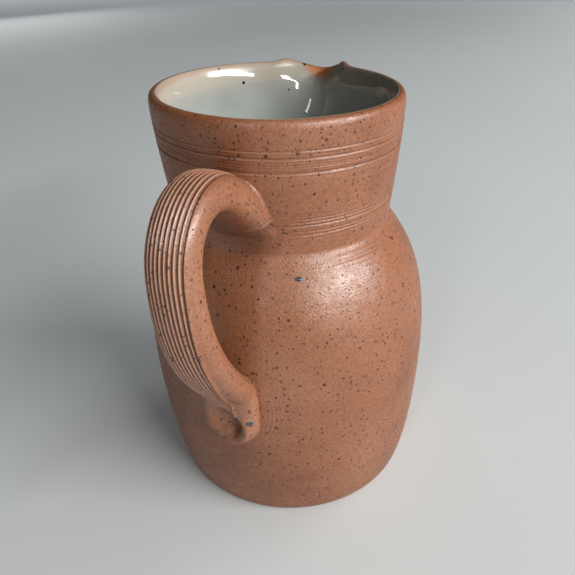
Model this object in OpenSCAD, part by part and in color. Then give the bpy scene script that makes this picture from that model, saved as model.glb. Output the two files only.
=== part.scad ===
// Hand-thrown stoneware pitcher: a turned body with a pulled spout, a combed strap handle
// luted on with slip, and a glaze coat inside. Origin at the centre of the base, +Z up,
// spout towards +X and handle towards -X.

/* [Body] */
// Height of the rim above the table
body_h = 200; // [180:1:220]
// Outer radius of the base
base_r = 62; // [58:0.5:64]
// Widest outer radius of the belly
belly_r = 71; // [68:0.5:74]
// Height of the widest part of the belly
belly_z = 70; // [62:1:76]
// Outer radius of the waist, where the shoulder meets the neck
waist_r = 50.5; // [48:0.5:53]
// Height of the waist
waist_z = 143; // [139:0.5:146]
// Outer radius of the neck just under the rim
rim_r = 55.5; // [54:0.5:57]
// Thickness of the thrown wall
wall = 6; // [5:0.25:7]
// Thickness of the floor
floor_t = 8; // [6:0.5:10]

/* [Spout] */
// Depth of the spout's throat below the rim
throat_depth = 28; // [24:1:32]
// Lean of the spout's axis away from the vertical, in degrees
spout_lean = 17; // [14:1:19]
// Half-angle of the spout's cone, in degrees
spout_half_angle = 25; // [22:1:27]
// Thickness of the pulled clay at the lip
lip_t = 4; // [3.5:0.1:4.5]

/* [Handle] */
// Width of the strap where it leaves the neck
root_w = 28; // [24:0.5:29]
// Width of the strap along the long side
strap_w = 23; // [20:0.5:25]
// Thickness of the strap
strap_t = 14.5; // [13:0.5:16]
// Reach of the strap's centre line from the axis of the body
handle_reach = 101; // [98:0.5:104]
// Height of the strap's centre line at the top of the bend
handle_top = 181; // [178:0.5:184]
// Number of comb grooves along the strap
groove_count = 9; // [7:1:10]
// Depth of a comb groove
groove_depth = 0.5; // [0.3:0.1:0.8]

/* [Slip and glaze] */
// Thickness of the slip that lutes the handle to the body
slip_t = 0.8; // [0.6:0.1:1.2]
// Thickness of the glaze coat inside
glaze_t = 0.5; // [0.4:0.1:0.8]

/* [Hidden] */
$fn = 96;
far = 300;                        // longer than anything here, for cutting
clay = [0.66, 0.42, 0.29];
combed_clay = [0.60, 0.36, 0.24];
slip_colour = [0.70, 0.47, 0.34];
glaze_colour = [0.72, 0.74, 0.69];

foot_bevel = 2;                   // bevel where the wall meets the base
bead_h = 6;                       // height of the rounded rim
crest_r = rim_r - 2.7;            // radius of the rim's highest line
bevel_h = 8;                      // depth of the bevel inside the rim
curve_steps = 14;                 // straight steps along each curve of the outline

rim_lines = [11.2, 14.1, 17.1, 19.8];    // how far the upper turned lines are below the rim
waist_lines = [17.3, 14.6, 11.8, 8.5];   // how far the lower turned lines are above the waist
line_w = 1.4;                     // width of a turned line
line_depth = 0.3;                 // depth of a turned line

slab_power = 2.8;                 // how square the strap's section is: 2 is an ellipse
comb_share = 0.68;                // share of the strap's width that is combed
comb_edge = 40;                   // angle round the section where the smooth part starts
smooth_points = 15;               // points round the smooth part of the section
ring_count = 44;                  // sections along the strap
root_z = 161;                     // height where the centre line leaves the neck
reach_z = 156;                    // height where the handle reaches furthest out
heel_z = 92;                      // height where the strap comes to the belly
tail_z = 56;                      // height of the strap's lower end
tail_share = 0.1;                 // share of the strap's length that the rounded end takes
thumb_z = 66;                     // height of the thumb mark's centre
thumb_w = 14;                     // width of the thumb mark
thumb_h = 20;                     // height of the thumb mark
thumb_depth = 3;                  // depth of the thumb mark
upper_pad_r = 14.5;               // radius of the luted patch on the neck
lower_pad_r = 13.5;               // half-width of the luted patch on the belly

// A point on a cubic curve with the end points a, d and the handles b, c.
function bezier(a, b, c, d, t) =
    pow(1 - t, 3) * a + 3 * pow(1 - t, 2) * t * b + 3 * (1 - t) * t * t * c + pow(t, 3) * d;
function curve(a, b, c, d) = [for (i = [1:curve_steps]) bezier(a, b, c, d, i / curve_steps)];
function grown(points, by) = [for (p = points) [p[0] + by, p[1]]];

// The outer outline of the thrown wall as radius and height, from the foot to under the rim.
foot = [base_r + foot_bevel, foot_bevel];
belly = [belly_r, belly_z];
waist = [waist_r, waist_z];
under_rim = [rim_r, body_h - bead_h];
belly_line = concat(
    [foot],
    curve(foot, [belly_r - 1, 20], [belly_r, belly_z - 8], belly),
    curve(belly, [belly_r, belly_z + 45], [belly_r - 9, waist_z - 16], waist));
neck_line = curve(waist, [waist_r + 3.6, waist_z + 26], [rim_r - 0.3, body_h - 8], under_rim);
wall_table = [for (p = concat(belly_line, neck_line)) [p[1], p[0]]];
function wall_at(z) = lookup(z, wall_table);

// The cavity's outline, from the floor's centre to the rim's crest.
inner_floor = [base_r - 16, floor_t];
inner_waist = [waist_r - wall, waist_z + 1];
inner_rim = [rim_r - wall - 0.5, body_h - bevel_h];
cavity_line = concat(
    [[0, floor_t], inner_floor],
    curve(inner_floor, [base_r - 4, floor_t], [base_r - 1, floor_t + 8], [belly_r - wall - 4, 30]),
    curve([belly_r - wall - 4, 30], [belly_r - wall, 46], [belly_r - wall, 54], [belly_r - wall, belly_z]),
    curve([belly_r - wall, belly_z], [belly_r - wall, belly_z + 43], [belly_r - wall - 9.5, waist_z - 17],
          inner_waist),
    [inner_rim, [crest_r, body_h]]);

module outer_outline() {
    difference() {
        polygon(concat(
            [[0, 0], [base_r, 0]],
            belly_line,
            neck_line,
            curve(under_rim, [rim_r, body_h - 2], [crest_r + 1.6, body_h], [crest_r, body_h]),
            [[0, body_h]]));
        for (z = concat([for (d = rim_lines) body_h - d], [for (d = waist_lines) waist_z + d]))
            translate([wall_at(z), z])
                polygon([[-line_depth, 0], [line_depth, -line_w], [line_depth, line_w]]);
    }
}

// The spout's cone, with its point in the wall above the waist and its mouth past the rim.
spout_root = [inner_waist[0] + 1.5, body_h - throat_depth];
mouth_along = (throat_depth - 2) / cos(spout_lean);
module on_spout_axis() {
    translate([spout_root[0], 0, spout_root[1]]) rotate([0, spout_lean, 0]) children();
}
module spout_cone(grow, length) {
    point = grow / sin(spout_half_angle);
    on_spout_axis() translate([0, 0, -point])
        cylinder(h = length + point, r1 = 0, r2 = (length + point) * tan(spout_half_angle));
}
module lip_bead() {
    mid_r = mouth_along * tan(spout_half_angle) + lip_t / 2 / cos(spout_half_angle);
    on_spout_axis() translate([0, 0, mouth_along]) rotate_extrude()
        translate([mid_r, 0]) circle(r = lip_t / 2 + 0.4);
}

// The space inside the pitcher, drawn in by the given thickness.
module cavity(inset) {
    rotate_extrude() polygon(concat(
        [[0, floor_t + inset]],
        [for (p = cavity_line) if (p[0] > 0) [p[0] - inset, max(p[1], floor_t + inset)]],
        [[crest_r - inset, body_h + 20], [0, body_h + 20]]));
    spout_cone(-inset, mouth_along + 10);
}

// The whole body as a solid lump, grown outward by the given thickness, for fitting the handle to it.
module belly_and_neck(grow) {
    rotate_extrude() polygon(concat(
        [[0, 0], [base_r + grow, 0]], grown(belly_line, grow), grown(neck_line, grow),
        [[0, under_rim[1]]]));
}

module body() {
    color(clay) difference() {
        union() {
            rotate_extrude() outer_outline();
            spout_cone(lip_t, mouth_along);
            lip_bead();
        }
        cavity(0);
    }
}

module inner_glaze() {
    color(glaze_colour) difference() {
        union() {
            rotate_extrude() polygon(concat(cavity_line, [[0, body_h]]));
            spout_cone(0, mouth_along);
        }
        cavity(glaze_t);
    }
}

// The strap's centre line from the neck to its end on the belly, as reach from the axis and
// height, where t goes from 0 to 1. It is three curves, end to end.
strap_curves = [
    [[wall_at(root_z), root_z], [handle_reach - 35, handle_top + 10], [handle_reach, handle_top + 4],
        [handle_reach, reach_z]],
    [[handle_reach, reach_z], [handle_reach + 1, reach_z - 28], [belly_r + 19, heel_z + 17],
        [belly_r + 5, heel_z]],
    [[belly_r + 5, heel_z], [belly_r + 1.5, heel_z - 5], [belly_r + 3, tail_z + 18], [belly_r + 2, tail_z]]];
function centre_at(t) = let (n = min(floor(t * 3), 2), c = strap_curves[n])
    bezier(c[0], c[1], c[2], c[3], t * 3 - n);
function turned(v) = [-v[1], v[0]] / norm(v);
function outward_at(t) = turned(centre_at(min(t + 0.002, 1)) - centre_at(max(t - 0.002, 0)));

// The strap's section at t: a rounded slab with its thickness along the first number and its
// width along the second, and comb grooves along its outer face.
function slab_point(a, w) = [
    strap_t / 2 * sign(cos(a)) * pow(abs(cos(a)), 2 / slab_power),
    w / 2 * sign(sin(a)) * pow(abs(sin(a)), 2 / slab_power)];
function slab_face(y, w) = strap_t / 2 * pow(1 - pow(abs(2 * y / w), slab_power), 1 / slab_power);
function width_at(t) = bezier(root_w, strap_w - 15, strap_w + 7, strap_w, t);
function end_scale(t) = t < 1 - tail_share ? 1 : sqrt(1.04 - pow((t - 1 + tail_share) / tail_share, 2));
function section_at(t) = let (w = width_at(t)) concat(
    [for (i = [0:2 * groove_count]) let (y = (i / groove_count - 1) * w * comb_share / 2)
        [slab_face(y, w) - (i % 2) * groove_depth, y]],
    [for (i = [0:smooth_points - 1])
        slab_point(comb_edge + i * (360 - 2 * comb_edge) / (smooth_points - 1), w)]);

// The thumb mark's depth at a place on the strap.
function thumb_at(y, z) = thumb_depth * exp(-4 * (pow(y / thumb_w, 2) + pow((z - thumb_z) / thumb_h, 2)));

// No point of the strap goes deeper than the face of the slip, and the first ring lies on it.
function seat_at(y, z) = sqrt(pow(wall_at(z) + slip_t, 2) - y * y);
function ring_at(k) = let (
    t = k / (ring_count - 1),
    c = centre_at(t),
    n = outward_at(t))
    [for (p = section_at(t) * end_scale(t)) let (
        z = c[1] + p[0] * n[1],
        y = p[1],
        reach = c[0] + p[0] * n[0] - (p[0] > 0 ? thumb_at(y, z) : 0))
        [k == 0 ? seat_at(y, z) : max(reach, seat_at(y, z)), y, z]];

function middle(points) = [for (p = points) 1] * points / len(points);
module strap() {
    rings = [for (k = [0:ring_count - 1]) ring_at(k)];
    n = len(rings[0]);
    last = (ring_count - 1) * n;
    middles = [[seat_at(0, root_z), 0, root_z], middle(rings[ring_count - 1])];
    points = concat([for (r = rings, p = r) p], middles);
    sides = [for (k = [0:ring_count - 2], j = [0:n - 1]) let (
        a = k * n + j, b = k * n + (j + 1) % n) each [[a, b, b + n], [a, b + n, a + n]]];
    caps = [for (j = [0:n - 1]) let (i = (j + 1) % n)
        each [[i, j, last + n], [last + j, last + i, last + n + 1]]];
    polyhedron(points, concat(sides, caps));
}

module handle() {
    color(combed_clay) rotate([0, 0, 180]) strap();
}

// A patch of slip on the wall, as tall and wide as the footprint that is given as a child.
module slip_patch() {
    difference() {
        intersection() {
            belly_and_neck(slip_t);
            rotate([0, -90, 0]) linear_extrude(far) children();
        }
        belly_and_neck(0);
    }
}
module upper_slip_joint() {
    color(slip_colour) slip_patch() translate([root_z + 2, 0]) circle(r = upper_pad_r);
}
module lower_slip_joint() {
    color(slip_colour) slip_patch() {
        for (z = [tail_z + lower_pad_r, heel_z - 6]) translate([z, 0]) circle(r = lower_pad_r);
        translate([tail_z + lower_pad_r, -lower_pad_r])
            square([heel_z - 6 - tail_z - lower_pad_r, 2 * lower_pad_r]);
    }
}

body();
inner_glaze();
handle();
upper_slip_joint();
lower_slip_joint();
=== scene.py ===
import math

import bmesh
import bpy
import numpy as np
from mathutils import Matrix, Vector
from mathutils.bvhtree import BVHTree


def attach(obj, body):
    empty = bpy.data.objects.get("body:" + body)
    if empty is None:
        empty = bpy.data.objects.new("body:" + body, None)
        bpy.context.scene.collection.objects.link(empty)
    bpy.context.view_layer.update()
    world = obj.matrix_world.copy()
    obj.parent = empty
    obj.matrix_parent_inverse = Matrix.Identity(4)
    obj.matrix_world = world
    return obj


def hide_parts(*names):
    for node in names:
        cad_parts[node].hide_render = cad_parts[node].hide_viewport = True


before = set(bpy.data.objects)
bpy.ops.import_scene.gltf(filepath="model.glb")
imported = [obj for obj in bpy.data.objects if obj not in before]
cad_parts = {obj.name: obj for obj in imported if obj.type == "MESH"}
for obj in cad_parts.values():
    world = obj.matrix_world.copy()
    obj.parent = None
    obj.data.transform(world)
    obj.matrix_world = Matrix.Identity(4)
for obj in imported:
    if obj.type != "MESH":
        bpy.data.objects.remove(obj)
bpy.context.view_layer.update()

MM = 0.001
RIM_Z = 200.0
CREST_R = 53.2
WAIST_Z = 143.0
STEPS_ROUND = 288


# ---------------------------------------------------------------- small helpers

def smooth(x):
    """0 below 0, 1 above 1, and an even slope between."""
    x = np.clip(x, 0, 1)
    return x * x * (3 - 2 * x)


def bezier(a, b, c, d, steps=300):
    """Points along a curve from a to d that leaves towards b and arrives from c."""
    t = np.linspace(0, 1, steps + 1)[:, None]
    a, b, c, d = (np.array(p, float) for p in (a, b, c, d))
    return (1 - t) ** 3 * a + 3 * (1 - t) ** 2 * t * b + 3 * (1 - t) * t * t * c + t ** 3 * d


def join(*lines):
    """One line from several that meet end to start."""
    return np.concatenate([lines[0]] + [line[1:] for line in lines[1:]])


def respaced(line, spacing):
    """The same line with its points spacing(point) apart."""
    length = np.linalg.norm(np.diff(line, axis=0), axis=1)
    middle = (line[1:] + line[:-1]) / 2
    count = np.concatenate([[0], np.cumsum(length / spacing(middle))])
    at = np.linspace(0, count[-1], int(round(count[-1])) + 1)
    return np.stack([np.interp(at, count, line[:, k]) for k in range(line.shape[1])], axis=1)


def points_of(mesh):
    """The mesh's points in millimetres."""
    flat = np.empty(len(mesh.vertices) * 3)
    mesh.vertices.foreach_get("co", flat)
    return flat.reshape(-1, 3) / MM


def move_points(mesh, points):
    """Put the mesh's points at places given in millimetres."""
    mesh.vertices.foreach_set("co", (points * MM).ravel())
    mesh.update()


def store(mesh, name, values):
    """A value for each point, which a material reads by name."""
    layer = mesh.attributes.get(name) or mesh.attributes.new(name, "FLOAT", "POINT")
    layer.data.foreach_set("value", np.asarray(values, dtype=np.float32))


def face_outwards(mesh):
    """Weld the mesh and turn its faces outwards."""
    work = bmesh.new()
    work.from_mesh(mesh)
    bmesh.ops.remove_doubles(work, verts=work.verts, dist=1e-6)
    bmesh.ops.recalc_face_normals(work, faces=work.faces)
    if work.calc_volume(signed=True) < 0:
        bmesh.ops.reverse_faces(work, faces=work.faces)
    work.to_mesh(mesh)
    work.free()
    mesh.update()


def mesh_object(name, points, faces=()):
    """An object in the scene from points in millimetres."""
    mesh = bpy.data.meshes.new(name)
    mesh.from_pydata((np.asarray(points) * MM).tolist(), [], list(faces))
    mesh.update()
    thing = bpy.data.objects.new(name, mesh)
    bpy.context.scene.collection.objects.link(thing)
    return thing


# ---------------------------------------------------------------- node helpers

def node(tree, kind, inputs=None, **settings):
    """A node with its settings, its values and its links, from a dict of input to value."""
    made = tree.nodes.new(kind)
    for name, value in settings.items():
        setattr(made, name, value)
    for key, value in (inputs or {}).items():
        if isinstance(value, bpy.types.NodeSocket):
            tree.links.new(value, made.inputs[key])
        else:
            made.inputs[key].default_value = value
    return made


def calc(tree, operation, *values):
    """A sum on sockets and plain numbers."""
    inputs = {k: value for k, value in enumerate(values)}
    return node(tree, "ShaderNodeMath", inputs, operation=operation).outputs[0]


def times(tree, *values):
    """The product of sockets and plain numbers."""
    product = values[0]
    for value in values[1:]:
        product = calc(tree, "MULTIPLY", product, value)
    return product


def vector(tree, operation, first, second=None):
    """A sum on vectors, which gives a vector or, for a length or a distance, a number."""
    inputs = {0: first}
    if second is not None:
        inputs["Scale" if operation == "SCALE" else 1] = second
    return live(node(tree, "ShaderNodeVectorMath", inputs, operation=operation).outputs)


def noise(tree, place, scale, detail, roughness=0.5, output="Fac"):
    """A noise texture in object space."""
    made = node(tree, "ShaderNodeTexNoise",
                {"Vector": place, "Scale": scale, "Detail": detail, "Roughness": roughness})
    return made.outputs[output]


def fade(tree, value, low, high, out_low=0.0, out_high=1.0):
    """Value mapped from low..high to out_low..out_high with a soft start and end."""
    made = node(tree, "ShaderNodeMapRange",
                {"Value": value, "From Min": low, "From Max": high,
                 "To Min": out_low, "To Max": out_high},
                interpolation_type="SMOOTHSTEP")
    return made.outputs["Result"]


def mix(tree, share, a, b, blend="MIX"):
    """A mix of two colours, by sockets or plain RGB."""
    made = node(tree, "ShaderNodeMix", data_type="RGBA", blend_type=blend)
    colour_a, colour_b = [s for s in made.inputs if s.type == "RGBA"][:2]
    for value, socket in ((share, made.inputs[0]), (a, colour_a), (b, colour_b)):
        if isinstance(value, bpy.types.NodeSocket):
            tree.links.new(value, socket)
        elif isinstance(value, tuple):
            socket.default_value = (*value, 1.0)
        else:
            socket.default_value = value
    return [s for s in made.outputs if s.type == "RGBA"][0]


SOCKETS = {float: "NodeSocketFloat", int: "NodeSocketInt", tuple: "NodeSocketColor"}


def new_group(name, kind, inputs, outputs):
    """An empty node group.  An input is given by its value, or by its socket type if it has
    none; an output by its socket type."""
    tree = bpy.data.node_groups.new(name, kind)
    for label, value in inputs.items():
        socket = value if isinstance(value, str) else SOCKETS[type(value)]
        made = tree.interface.new_socket(name=label, in_out="INPUT", socket_type=socket)
        if socket != value:
            made.default_value = value
    for label, socket in outputs.items():
        tree.interface.new_socket(name=label, in_out="OUTPUT", socket_type=socket)
    return tree, tree.nodes.new("NodeGroupInput").outputs, tree.nodes.new("NodeGroupOutput")


def live(sockets, name=None):
    """The first socket in use, of those with the given name if there is one."""
    return next(s for s in sockets if s.enabled and name in (None, s.name))


def sampled(tree, value, geometry, index, kind):
    """A value read from another geometry's point."""
    made = node(tree, "GeometryNodeSampleIndex", {"Geometry": geometry, "Index": index},
                data_type=kind)
    tree.links.new(value, live(made.inputs, "Value"))
    return live(made.outputs)


def marked(tree, geometry, name, value):
    """The geometry with a value stored for each point."""
    made = node(tree, "GeometryNodeStoreNamedAttribute", {"Geometry": geometry, "Name": name},
                data_type="FLOAT", domain="POINT")
    tree.links.new(value, live(made.inputs, "Value"))
    return made.outputs[0]


def close_tree(tree, geometry, material, end):
    """The end of a geometry tree: real geometry, smooth faces and its material."""
    real = node(tree, "GeometryNodeRealizeInstances", {"Geometry": geometry})
    even = node(tree, "GeometryNodeSetShadeSmooth", {"Geometry": real.outputs[0]})
    done = node(tree, "GeometryNodeSetMaterial",
                {"Geometry": even.outputs[0], "Material": material})
    tree.links.new(done.outputs[0], end.inputs[0])
    return tree


def grown_by(thing, tree, **values):
    """Run a geometry tree on an object and keep the result as its plain mesh."""
    grower = thing.modifiers.new(tree.name, "NODES")
    grower.node_group = tree
    for item in tree.interface.items_tree:
        if item.in_out == "INPUT" and item.name.replace(" ", "_") in values:
            grower[item.identifier] = values[item.name.replace(" ", "_")]
    bpy.context.view_layer.update()
    graph = bpy.context.evaluated_depsgraph_get()
    mesh = bpy.data.meshes.new_from_object(thing.evaluated_get(graph))
    thing.modifiers.remove(grower)
    thing.data = mesh
    return mesh


# ---------------------------------------------------------------- camera, light and floor

# The air's colour, and its strength as seen, as light and in what glossy faces mirror.
AIR = (0.90, 0.95, 1.0)
AIR_SEEN = 0.60
AIR_LIGHT = 0.08
AIR_MIRRORED = 0.03

# Name, azimuth from the spout and elevation in degrees, distance, width, height, power, colour,
# and whether the pitcher mirrors it.
LIGHTS = [
    ("window_light", -104, 26, 2.6, 2.4, 0.17, 84, (1.0, 0.99, 0.98), True),
    ("second_window", 178, 30, 1.6, 0.16, 0.50, 2.9, (0.95, 0.98, 1.0), True),
    ("ceiling_bounce", -85, 62, 2.6, 2.0, 2.0, 8, (0.97, 0.99, 1.0), True),
    ("far_window", -38, 12, 2.6, 1.2, 0.9, 22, (0.95, 0.98, 1.0), False),
    ("back_wall", 55, 10, 2.4, 1.4, 0.7, 6, (0.97, 0.99, 1.0), False),
]


def set_camera():
    """The camera looks down at the pitcher from behind its handle, on the right-hand side."""
    heading, dip, roll = math.radians(21.1), math.radians(31.69), -0.033
    data = bpy.data.cameras.new("view_camera")
    data.sensor_width = 36.0
    data.lens = 36.19
    data.clip_start = 0.01
    camera = bpy.data.objects.new("view_camera", data)
    turn = (Matrix.Rotation(heading - math.pi / 2, 4, "Z")
            @ Matrix.Rotation(math.pi / 2 - dip, 4, "X")
            @ Matrix.Rotation(roll, 4, "Z"))
    camera.matrix_world = Matrix.Translation((-0.2425, -0.0931, 0.2571)) @ turn
    bpy.context.scene.collection.objects.link(camera)
    bpy.context.scene.camera = camera


def set_light(name, azimuth, elevation, distance, wide, tall, power, tint, mirrored):
    """A soft area light that faces the middle of the pitcher from the given direction."""
    data = bpy.data.lights.new(name, "AREA")
    data.shape = "RECTANGLE"
    data.size = wide
    data.size_y = tall
    data.energy = power
    data.color = tint
    light = bpy.data.objects.new(name, data)
    a, e = math.radians(azimuth), math.radians(elevation)
    towards = Vector((math.cos(e) * math.cos(a), math.cos(e) * math.sin(a), math.sin(e)))
    light.location = Vector((0, 0, 0.12)) + towards * distance
    light.rotation_euler = towards.to_track_quat("Z", "Y").to_euler()
    light.visible_glossy = mirrored
    bpy.context.scene.collection.objects.link(light)


def set_lights():
    """The soft studio lights and the even air round them."""
    for light in LIGHTS:
        set_light(*light)
    world = bpy.data.worlds.new("studio_air")
    world.use_nodes = True
    tree = world.node_tree
    seen = tree.nodes.new("ShaderNodeLightPath")
    strength = calc(tree, "MULTIPLY_ADD", seen.outputs["Is Camera Ray"],
                    AIR_SEEN - AIR_LIGHT, AIR_LIGHT)
    strength = calc(tree, "MULTIPLY_ADD", seen.outputs["Is Glossy Ray"],
                    AIR_MIRRORED - AIR_LIGHT, strength)
    air = tree.nodes["Background"]
    air.inputs["Color"].default_value = (*AIR, 1.0)
    tree.links.new(strength, air.inputs["Strength"])
    bpy.context.scene.world = world
    bpy.context.scene.view_settings.view_transform = "Standard"


def lay_floor():
    """A pale table that fades into the air far behind the pitcher."""
    floor = mesh_object("floor", [(-6000, -6000, 0), (6000, -6000, 0), (6000, 6000, 0),
                                  (-6000, 6000, 0)], [(0, 1, 2, 3)])
    paint = bpy.data.materials.new("pale_table")
    paint.use_nodes = True
    tree = paint.node_tree
    shader = tree.nodes["Principled BSDF"]
    shader.inputs["Roughness"].default_value = 0.55
    shader.inputs["Specular IOR Level"].default_value = 0.3
    place = tree.nodes.new("ShaderNodeTexCoord").outputs["Object"]
    cloud = noise(tree, place, 3.0, 2.0)
    tint = mix(tree, cloud, (0.66, 0.685, 0.68), (0.69, 0.715, 0.71))
    ray = tree.nodes.new("ShaderNodeLightPath").outputs
    # The table is darker in what glossy faces mirror: a painted, dimmer reflection of it.
    tint = mix(tree, times(tree, ray["Is Glossy Ray"], 0.30), tint, (0.0, 0.0, 0.0))
    tree.links.new(tint, shader.inputs["Base Color"])
    away = vector(tree, "LENGTH", place)
    haze = times(tree, fade(tree, away, 1.5, 4.8), ray["Is Camera Ray"])
    air = mix(tree, haze, (0.0, 0.0, 0.0), AIR)
    tree.links.new(air, shader.inputs["Emission Color"])
    shader.inputs["Emission Strength"].default_value = AIR_SEEN
    floor.data.materials.append(paint)


# ---------------------------------------------------------------- the wheel: how the body was thrown

FOOT = (64.2, 2.0)
BELLY = (71.2, 70.0)
WAIST = (50.7, WAIST_Z)
UNDER_RIM = (55.7, 194.0)
CREST = (CREST_R, RIM_Z)
BEVEL_END = (49.5, 191.0)

BASE_LINE = join(np.array([(0, 0), (20, 0), (40, 0), (61.0, 0)], float),
                 bezier((61.0, 0), (62.8, 0), (63.7, 0.8), FOOT))
BELLY_LINE = bezier(FOOT, (70.0, 20.0), (71.2, 62.0), BELLY)
SHOULDER_LINE = bezier(BELLY, (71.2, 115.3), (62.3, 127.1), WAIST)
NECK_LINE = bezier(WAIST, (54.3, 169.6), (55.5, 188.0), UNDER_RIM)
RIM_LINE = join(bezier(UNDER_RIM, (55.8, 197.8), (55.3, 200.0), CREST),
                bezier(CREST, (51.3, 200.0), (50.4, 195.5), BEVEL_END))
INNER_LINE = join(bezier(BEVEL_END, (48.8, 178), (47.4, 158), (44.9, WAIST_Z + 1)),
                  bezier((44.9, WAIST_Z + 1), (57, 127), (65.2, 113), (65.2, 70)),
                  bezier((65.2, 70), (65.2, 52), (63.5, 34), (60.8, 20)),
                  bezier((60.8, 20), (58.8, 10), (54, 8), (46, 8)),
                  np.array([(46, 8), (22, 8), (0, 8)], float))
OUTER_LINE = join(np.array([(62.2, 0.0), FOOT]), BELLY_LINE, SHOULDER_LINE, NECK_LINE)


def wall_at(z):
    """The thrown wall's outer radius at a height."""
    return np.interp(z, OUTER_LINE[:, 1], OUTER_LINE[:, 0])


def outer_spacing(points):
    """Rows lie close where lines are cut, and further apart elsewhere."""
    z = points[:, 1]
    step = np.full(len(z), 1.9)
    for low, high in ((134.5, 144.5), (150.0, 163.0), (178.5, 190.0)):
        step = np.where((z > low) & (z < high), 0.29, step)
    return np.where(z > 192, 0.7, step)


def wheel_tree():
    """Turns an outline, a row of points in the XZ plane, into a closed thrown form."""
    tree, given, end = new_group(
        "throw on the wheel", "GeometryNodeTree",
        {"Outline": "NodeSocketGeometry", "Steps Round": STEPS_ROUND, "Clay": "NodeSocketMaterial"},
        {"Form": "NodeSocketGeometry"})
    steps = given["Steps Round"]
    rows = node(tree, "GeometryNodeAttributeDomainSize",
                {"Geometry": given["Outline"]}).outputs["Point Count"]
    grid = node(tree, "GeometryNodeMeshGrid",
                {"Vertices X": calc(tree, "ADD", steps, 1.0), "Vertices Y": rows})
    index = tree.nodes.new("GeometryNodeInputIndex").outputs[0]
    row = calc(tree, "FLOORED_MODULO", index, rows)
    column = calc(tree, "FLOOR", calc(tree, "DIVIDE", calc(tree, "ADD", index, 0.5), rows))
    place = tree.nodes.new("GeometryNodeInputPosition").outputs[0]
    line = sampled(tree, place, given["Outline"], row, "FLOAT_VECTOR")
    parts = node(tree, "ShaderNodeSeparateXYZ", {0: line})
    angle = calc(tree, "DIVIDE", times(tree, column, math.tau), steps)
    around = node(tree, "ShaderNodeCombineXYZ",
                  {"X": times(tree, parts.outputs["X"], calc(tree, "COSINE", angle)),
                   "Y": times(tree, parts.outputs["X"], calc(tree, "SINE", angle)),
                   "Z": parts.outputs["Z"]})
    thrown = node(tree, "GeometryNodeSetPosition",
                  {"Geometry": grid.outputs["Mesh"], "Position": around.outputs[0]})
    closed = node(tree, "GeometryNodeMergeByDistance",
                  {"Geometry": thrown.outputs[0], "Distance": 1e-6})
    return close_tree(tree, closed.outputs[0], given["Clay"], end)


def thrown_form(name, outline, tree, clay, steps_round):
    """A closed form of revolution from an outline of radius and height."""
    row = np.stack([outline[:, 0], np.zeros(len(outline)), outline[:, 1]], axis=1)
    thing = mesh_object(name, row)
    grown_by(thing, tree, Steps_Round=steps_round, Clay=clay)
    face_outwards(thing.data)
    return thing


# Lines cut with a tool while the wheel turned: height, depth, half-width, and the part of the
# turn that they cover in degrees from the spout, with how far they climb over it.
ALL_ROUND = (-400.0, 400.0, 0.0)
TURNED_LINES = [
    (188.7, 0.26, 0.42, *ALL_ROUND),
    (187.2, 0.13, 0.32, *ALL_ROUND),
    (185.9, 0.36, 0.46, *ALL_ROUND),
    (184.5, 0.14, 0.32, *ALL_ROUND),
    (183.3, 0.24, 0.36, *ALL_ROUND),
    (182.4, 0.22, 0.34, *ALL_ROUND),
    (181.2, 0.13, 0.32, *ALL_ROUND),
    (180.1, 0.46, 0.52, *ALL_ROUND),
    (178.9, 0.12, 0.32, *ALL_ROUND),
    (177.6, 0.10, 0.40, *ALL_ROUND),
    (175.3, 0.12, 0.45, *ALL_ROUND),
    (161.6, 0.10, 0.45, -168, -70, 0.2),
    (160.3, 0.24, 0.40, -166, -62, 0.4),
    (158.9, 0.30, 0.42, -164, -50, 0.3),
    (157.4, 0.32, 0.44, -166, -56, 0.5),
    (154.7, 0.24, 0.42, -160, -60, 0.4),
    (153.2, 0.30, 0.42, -162, -48, 0.4),
    (151.3, 0.16, 0.40, -156, -66, 0.3),
    (159.6, 0.24, 0.42, 60, 166, -0.5),
    (157.9, 0.30, 0.44, 40, 160, -0.4),
    (155.6, 0.22, 0.40, 70, 168, -0.3),
    (153.0, 0.28, 0.42, 55, 158, -0.5),
    (140.8, 0.20, 0.36, -142, -97, -0.5),
    (139.3, 0.16, 0.34, -136, -99, -0.7),
    (137.9, 0.22, 0.36, -139, -101, -0.9),
    (136.2, 0.16, 0.34, -133, -104, -1.0),
    (138.6, 0.18, 0.36, 20, 96, 0.8),
    (136.9, 0.14, 0.36, 34, 110, 0.9),
]


def cut_lines(points, on_outside):
    """How deep the turned lines are at each point of the wall."""
    angle = np.degrees(np.arctan2(points[:, 1], points[:, 0]))
    z = points[:, 2]
    depth = np.zeros(len(z))
    for n, (height, deep, half, first, last, climb) in enumerate(TURNED_LINES):
        along = (angle - first) / (last - first)
        wander = 0.12 * np.sin(np.radians(angle) * 2 + n) + climb * (along - 0.5)
        reach = smooth((angle - first) / 14) * smooth((last - angle) / 14)
        shape = np.exp(-((z - height - wander) / (0.78 * half)) ** 2)
        rib = 0.35 * np.exp(-((z - height - wander + 1.4 * half) / (0.6 * half)) ** 2)
        depth += deep * reach * (shape - rib)
    return np.where(on_outside, depth, 0.0)


def ledge(z):
    """The sharp little ledge where the shoulder meets the neck."""
    return 0.34 * smooth((z - 139.5) / 3.2) * smooth((143.9 - z) / 0.7)


SPOUT_FROM_Z = 168.0
SPOUT_PULL, SPOUT_DIP = 13.6, 4.6
# The crests beside the spout: place along the rim, half-width, flare and rise.
SPOUT_CRESTS = ((15.2, 4.6, 0.5, 1.2), (-14.2, 3.4, 0.3, 1.7))


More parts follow.
